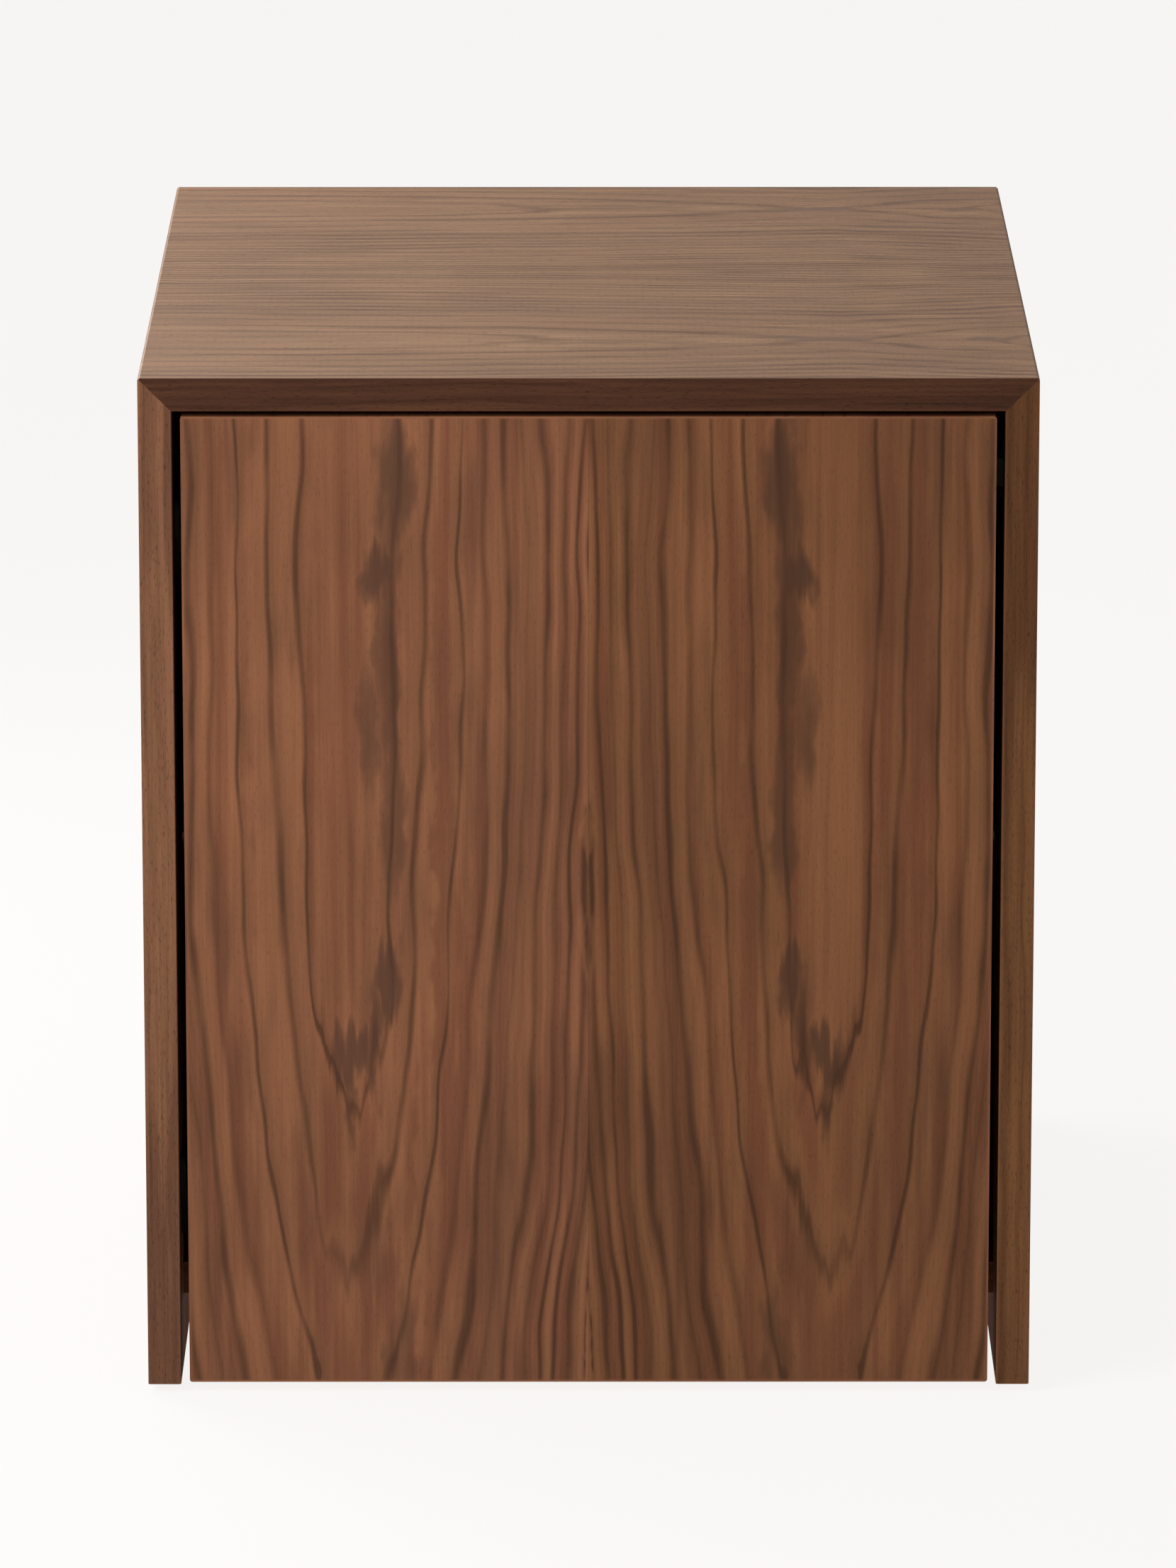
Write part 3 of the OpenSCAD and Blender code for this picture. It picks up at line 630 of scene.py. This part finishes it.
for node, name, seed in (("bottom_panel", "bottom_board", 21.0), ("shelf", "shelf_board", 24.5)):
    board = eased(node, name, inner_arris, INNER_ROUND, 2)
    fit(board, node, "case",
        walnut(f"walnut {name} veneer", node, RED_WALNUT, seed, "Y", "X", axis=0.135,
               turn=-0.30, mirrored=0.0, pull=0.05, contrast=0.7))
back = eased("back_panel", "back_board", inner_arris, INNER_ROUND, 2)
fit(back, "back_panel", "case",
    walnut("walnut back veneer", "back_panel", RED_WALNUT, 27.2, "X", "Z", axis=0.120,
           mirrored=0.0, pull=0.055, contrast=0.7, second_leaf_shade=0.05))
for node in ("bottom_front_band", "shelf_front_band"):
    band = eased(node, node.replace("_band", "_edge_band"), inner_arris, INNER_BAND_ROUND, 2)
    fit(band, node, "case",
        walnut(f"walnut {node}", node, RED_WALNUT, 30.1, "Z", "X", axis=-0.12, contrast=0.5))

# ---- Joinery inside the boards ----
# Beech splines in the mitres and grooved dowels under the bottom board hold
# the glued joints in line. Cam fittings pull the bottom board to the sides.

SPLINE_ROUND = 0.0005
DOWEL_ROUND = 0.0003
CAM_ROUND = 0.0002
SCREW_ROUND = 0.00012
BEECH_PALE = (0.62, 0.40, 0.22, 1)
BEECH_DARK = (0.47, 0.28, 0.14, 1)
BEECH_FLECK = (0.24, 0.12, 0.06, 1)


def make_beech():
    """Straight pale grain with the short dark flecks of beech."""
    tree, given, out = shader_group(
        "Beech grain", values_named("Across", "Along", "Seed"),
        [("Colour", "colour"), ("Height", "value")],
    )
    across, along, seed = given["Across"], given["Along"], given["Seed"]
    fibre = mottle(tree, across, along, seed, wide=0.0012, long=0.040)
    fleck_seed = calc(tree, "ADD", seed, 4.0)
    fleck = mottle(tree, across, along, fleck_seed, wide=0.0005, long=0.0025, detail=1.0)
    fleck = fade(tree, fleck, 0.62, 0.72)
    colour = blend_colour(tree, fibre, BEECH_PALE, BEECH_DARK)
    colour = blend_colour(tree, calc(tree, "MULTIPLY", fleck, 0.6), colour, BEECH_FLECK)
    tree.links.new(colour, out["Colour"])
    tree.links.new(calc(tree, "SUBTRACT", fibre, fleck), out["Height"])
    return tree


beech_grain = make_beech()


def beech(name, across, along, seed):
    material, tree, shader = lacquered(name)
    grain = tree.nodes.new("ShaderNodeGroup")
    grain.node_tree = beech_grain
    place_across, place_along = board_axes(tree, across, along)
    join(tree, place_across, grain.inputs["Across"])
    join(tree, place_along, grain.inputs["Along"])
    join(tree, seed, grain.inputs["Seed"])
    shader.inputs["Roughness"].default_value = 0.62
    tree.links.new(grain.outputs["Colour"], shader.inputs["Base Color"])
    add_bump(tree, grain.outputs["Height"], shader, depth=0.0001)
    return material


def every_arris(middle, run, length):
    return 1.0


splines = eased("mitre_splines", "mitre_splines_beech", every_arris, SPLINE_ROUND, 2)
fit(splines, "mitre_splines", "case", beech("beech spline", "X", "Y", 2.0))
dowels = eased("bottom_dowels", "bottom_dowels_beech", every_arris, DOWEL_ROUND, 2)
fit(dowels, "bottom_dowels", "case", beech("beech dowel", "Y", "X", 6.0))


def make_fine_texture():
    """Slow patches and a fine grain, as on plated steel and moulded plastic."""
    tree, given, out = shader_group(
        "Patches and grain", values_named("Patch size", "Grain size", "Seed"),
        values_named("Patches", "Grain"),
    )
    place = tree.nodes.new("ShaderNodeTexCoord").outputs["Object"]
    for label, size, low, high in (
        ("Patches", "Patch size", 0.35, 0.65),
        ("Grain", "Grain size", 0.30, 0.70),
    ):
        noise = tree.nodes.new("ShaderNodeTexNoise")
        noise.noise_dimensions = "4D"
        tree.links.new(place, noise.inputs["Vector"])
        join(tree, given["Seed"], noise.inputs["W"])
        join(tree, calc(tree, "DIVIDE", 1.0, given[size]), noise.inputs["Scale"])
        noise.inputs["Detail"].default_value = 2.0
        tree.links.new(fade(tree, noise.outputs["Fac"], low, high), out[label])
    return tree


fine_texture = make_fine_texture()
FINISH_PATCH = 0.006
FINISH_GRAIN = 0.0004
FINISH_DEPTH = 0.00002
ROUGHNESS_SPAN = 0.14


def hard_finish(name, seed, first, second, metallic, roughness):
    """Metal or plastic whose colour drifts between two shades, with a fine surface grain."""
    material, tree, shader = lacquered(name, gloss=0.5)
    texture = tree.nodes.new("ShaderNodeGroup")
    texture.node_tree = fine_texture
    texture.inputs["Patch size"].default_value = FINISH_PATCH
    texture.inputs["Grain size"].default_value = FINISH_GRAIN
    texture.inputs["Seed"].default_value = seed
    share = calc(tree, "MULTIPLY", texture.outputs["Patches"], 0.7)
    share = calc(tree, "MULTIPLY_ADD", texture.outputs["Grain"], 0.3, share)
    colour = blend_colour(tree, share, (*first, 1), (*second, 1))
    tree.links.new(colour, shader.inputs["Base Color"])
    smoothest = roughness - ROUGHNESS_SPAN / 2
    rough = calc(tree, "MULTIPLY_ADD", share, ROUGHNESS_SPAN, smoothest)
    tree.links.new(rough, shader.inputs["Roughness"])
    shader.inputs["Metallic"].default_value = metallic
    add_bump(tree, texture.outputs["Grain"], shader, FINISH_DEPTH)
    return material


zinc = hard_finish("zinc-plated steel", 28, (0.56, 0.56, 0.54), (0.42, 0.43, 0.43),
                   metallic=1.0, roughness=0.34)
for node, width in (
    ("cam_bolts", CAM_ROUND), ("cam_discs", CAM_ROUND), ("back_screws", SCREW_ROUND),
):
    fitting = eased(node, f"{node}_zinc", every_arris, width, 2)
    fit(fitting, node, "case", zinc)

# ---- Shelf pins and floor glides ----
# The shelf lies on four plated pins pushed into the sides. Under each corner
# a dark nylon glide with a chamfered rim is nailed into the side's edge.

PIN_ROUND = 0.0003
NAIL_ROUND = 0.0002

pins = eased("shelf_pins", "shelf_pins_zinc", every_arris, PIN_ROUND, 2)
fit(pins, "shelf_pins", "case", zinc)
nylon = hard_finish("dark nylon", 29, (0.040, 0.034, 0.030), (0.052, 0.046, 0.042),
                    metallic=0.0, roughness=0.50)
glides = eased("floor_glides", "floor_glides_nylon", every_arris, PIN_ROUND, 2)
fit(glides, "floor_glides", "case", nylon)
nails = eased("glide_nails", "glide_nails_zinc", every_arris, NAIL_ROUND, 2)
fit(nails, "glide_nails", "case", zinc)

# ---- Hinges ----
# Each hinge is a bent arm of blackened steel on a plate that is screwed to
# the left side. Its eye turns on a pin in a block let into the door's back.

ARM_ROUND = 0.0005
BLOCK_ROUND = 0.0004
WASHER_ROUND = 0.0001
LONG_ARRIS = 0.0045
SQUARE_TO_CASE = 0.99


def straight_arris(middle, run, length):
    """Rounds the long straight arrises, and leaves holes and slots crisp."""
    straight = max(abs(part) for part in run) > SQUARE_TO_CASE
    return 1.0 if length > LONG_ARRIS and straight else 0.0


black_steel = hard_finish("blackened steel", 30, (0.020, 0.019, 0.018), (0.034, 0.032, 0.031),
                          metallic=0.75, roughness=0.46)
for height in ("upper", "lower"):
    hinge = f"{height}_hinge"
    bracket = eased(f"{hinge}_bracket", f"{hinge}_arm", straight_arris, ARM_ROUND)
    fit(bracket, f"{hinge}_bracket", "case", black_steel)
    block = eased(f"{hinge}_block", f"{hinge}_door_block", straight_arris, BLOCK_ROUND)
    fit(block, f"{hinge}_block", "door", black_steel)
    pin = eased(f"{hinge}_pin", f"{hinge}_axle", every_arris, PIN_ROUND, 2)
    fit(pin, f"{hinge}_pin", "door", zinc)
washers = eased("hinge_washers", "hinge_washers_nylon", every_arris, WASHER_ROUND, 2)
fit(washers, "hinge_washers", "door", nylon)
for node, body in (("hinge_bracket_screws", "case"), ("hinge_block_screws", "door")):
    screws = eased(node, f"{node}_black", every_arris, SCREW_ROUND, 2)
    fit(screws, node, body, black_steel)

# ---- Push latch ----
# A black moulded housing screwed to the right side. A press on the door lets
# its sprung plunger out, and the magnet in the plunger's tip holds the door.

HOUSING_ROUND = 0.0006
WIRE_ROUND = 0.0001
TIP_ROUND = 0.0003

black_plastic = hard_finish("black moulded plastic", 31, (0.014, 0.013, 0.013),
                            (0.020, 0.019, 0.018), metallic=0.0, roughness=0.48)
housing = eased("latch_housing", "latch_housing_moulded", straight_arris, HOUSING_ROUND)
fit(housing, "latch_housing", "case", black_plastic)
screws = eased("latch_screws", "latch_screws_black", every_arris, SCREW_ROUND, 2)
fit(screws, "latch_screws", "case", black_steel)
spring = eased("latch_spring", "latch_spring_coil", straight_arris, WIRE_ROUND, 1)
fit(spring, "latch_spring", "case", zinc)
plunger = eased("latch_plunger", "latch_plunger_moulded", every_arris, TIP_ROUND, 2)
fit(plunger, "latch_plunger", "latch", black_plastic)
nickel = hard_finish("nickel-plated magnet", 32, (0.66, 0.62, 0.56), (0.56, 0.53, 0.48),
                     metallic=1.0, roughness=0.22)
magnet = eased("latch_magnet", "latch_magnet_nickel", every_arris, TIP_ROUND, 2)
fit(magnet, "latch_magnet", "latch", nickel)

# ---- Door ----
# One 19 mm board with solid strips glued to its four edges. Its face is two
# neighbouring leaves of veneer, opened like a book, so that the figure on the
# left is mirrored on the right.

left_low, left_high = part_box("door_left_band")
CROWN_AXIS = 0.137
DOOR_ROUND = 0.0006
SHORT_ARRIS = 0.02
IN_DOOR_PLANE = 0.1

# Where the door's wood departs from the even figure: the redder patches, the paler ones,
# the dark ones where dye has gathered, and the pale slivers beside the seam
DOOR_PATCHES = (
    ((390, 3, 210, 20, 0.14), (110, 4, 70, 20, 0.10), (250, -56, 220, 8, 0.10)),
    ((380, 43, 320, 15, 0.22), (300, -42, 300, 6, 0.16), (130, -24, 60, 8, 0.10)),
    ((536, -27, 46, 11, 0.72), (494, -24, 40, 7, 0.44), (478, -17, 24, 9, 0.80),
     (440, -22, 46, 7, 0.52), (390, -12, 38, 7, 0.50), (385, -24, 60, 5, 0.48),
     (330, -26, 44, 7, 0.58), (240, -22, 22, 9, 0.74), (206, -14, 36, 4, 0.52),
     (196, 0, 20, 14, 0.74), (168, 1, 30, 3, 0.52), (76, -14, 30, 12, 0.30),
     (22, -29, 34, 9, 0.46), (210, -84, 260, 11, 0.16), (90, -112, 260, 20, 0.05)),
    ((335, -137, 36, 3, 0.5), (262, -135, 30, 3, 0.4), (22, -137, 40, 3, 0.6)),
)


def glued_arris(middle, run, length):
    return 0.0


door = eased("door_panel", "door_board", glued_arris, DOOR_ROUND)
fit(door, "door_panel", "door",
    walnut("walnut door veneer", "door_panel", RED_WALNUT, 2.0, "X", "Z", axis=CROWN_AXIS,
           turn=left_low.z, mirrored=0.0, pull=0.058, fibre=0.7, second_leaf_shade=0.15,
           patches=DOOR_PATCHES))


def door_band_arris(middle, run, length):
    """Rounds the long outer arrises of the door, and none where the bands meet the board."""
    across_door = abs(middle.x) > -left_low.x - CLOSE
    at_end = middle.z < left_low.z + CLOSE or middle.z > left_high.z - CLOSE
    on_outside = (across_door or at_end) and abs(run.y) < IN_DOOR_PLANE
    return 1.0 if on_outside and length > SHORT_ARRIS else 0.0


for place, across, along, from_heart in (
    ("top", "Z", "X", 0.40),
    ("bottom", "Z", "X", 0.20),
    ("left", "Y", "Z", -0.15),
    ("right", "Y", "Z", -0.15),
):
    node = f"door_{place}_band"
    band = eased(node, f"door_{place}_edge_band", door_band_arris, DOOR_ROUND)
    fit(band, node, "door",
        walnut(f"walnut door {place} band", node, RED_WALNUT, 33.0, across, along,
               axis=from_heart, contrast=0.6))

# ---- Strike plate ----
# A round plate of plated steel, screwed to the door's back where the latch's
# magnet meets it.

strike = eased("strike_plate", "strike_plate_zinc", every_arris, PIN_ROUND, 2)
fit(strike, "strike_plate", "door", zinc)
strike_fixing = eased("strike_screw", "strike_screw_zinc", every_arris, SCREW_ROUND, 2)
fit(strike_fixing, "strike_screw", "door", zinc)

# ---- Floor, lights and camera ----
# A pale floor that glows like a light table, and soft daylight from the left.
# The camera stands well back and looks slightly down on the front of the unit.

FLOOR_REACH = 14.0
FLOOR_PAINT = (0.08, 0.079, 0.078, 1)
PALE = (1.0, 0.982, 0.964, 1)
FLOOR_GLOW = 0.89
FLOOR_GLOW_IN_GLOSS = 0.05
SKY_GLOW = 0.45
SKY_GLOW_SEEN = 0.95

floor_mesh = bpy.data.meshes.new("floor")
floor_shape = bmesh.new()
bmesh.ops.create_grid(floor_shape, x_segments=2, y_segments=2, size=FLOOR_REACH)
floor_shape.to_mesh(floor_mesh)
floor_shape.free()
floor = bpy.data.objects.new("floor", floor_mesh)
bpy.context.scene.collection.objects.link(floor)
paint = bpy.data.materials.new("pale floor")
paint.use_nodes = True
paint_shader = paint.node_tree.nodes["Principled BSDF"]
paint_shader.inputs["Base Color"].default_value = FLOOR_PAINT
paint_shader.inputs["Roughness"].default_value = 0.9
paint_shader.inputs["Specular IOR Level"].default_value = 0.0
paint_shader.inputs["Emission Color"].default_value = PALE
in_gloss = paint.node_tree.nodes.new("ShaderNodeLightPath").outputs["Is Glossy Ray"]
glow = fade(paint.node_tree, in_gloss, 0.0, 1.0, low=FLOOR_GLOW, high=FLOOR_GLOW_IN_GLOSS)
join(paint.node_tree, glow, paint_shader.inputs["Emission Strength"])
floor.data.materials.append(paint)

world = bpy.data.worlds.new("soft daylight")
world.use_nodes = True
sky = world.node_tree.nodes["Background"]
sky.inputs["Color"].default_value = PALE
seen = world.node_tree.nodes.new("ShaderNodeLightPath").outputs["Is Camera Ray"]
brightness = fade(world.node_tree, seen, 0.0, 1.0, low=SKY_GLOW, high=SKY_GLOW_SEEN)
join(world.node_tree, brightness, sky.inputs["Strength"])
bpy.context.scene.world = world


def soft_box(name, place, aim, size, power):
    light = bpy.data.lights.new(name, "AREA")
    light.size = size
    light.energy = power
    holder = bpy.data.objects.new(name, light)
    holder.location = place
    facing = Vector(aim) - Vector(place)
    holder.rotation_euler = facing.to_track_quat("-Z", "Y").to_euler()
    holder.visible_camera = False
    bpy.context.scene.collection.objects.link(holder)


soft_box("window light", place=(-1.30, -1.25, 1.35), aim=(0, -0.1, 0.35), size=1.0, power=33)
soft_box("back light", place=(-0.95, 0.80, 1.10), aim=(0, 0.1, 0.4), size=0.9, power=16)

LENS = 227.7
SENSOR = 36
LOOKS_DOWN = math.radians(14.19)
TURNED = math.radians(-0.0626)
camera = bpy.data.cameras.new("camera")
camera.lens = LENS
camera.sensor_width = SENSOR
camera.clip_end = 100
stand = bpy.data.objects.new("camera", camera)
stand.location = (-0.0063, -5.776, 1.751)
stand.rotation_euler = (math.radians(90) - LOOKS_DOWN, 0, TURNED)
bpy.context.scene.collection.objects.link(stand)
bpy.context.scene.camera = stand
bpy.context.scene.view_settings.view_transform = "Standard"
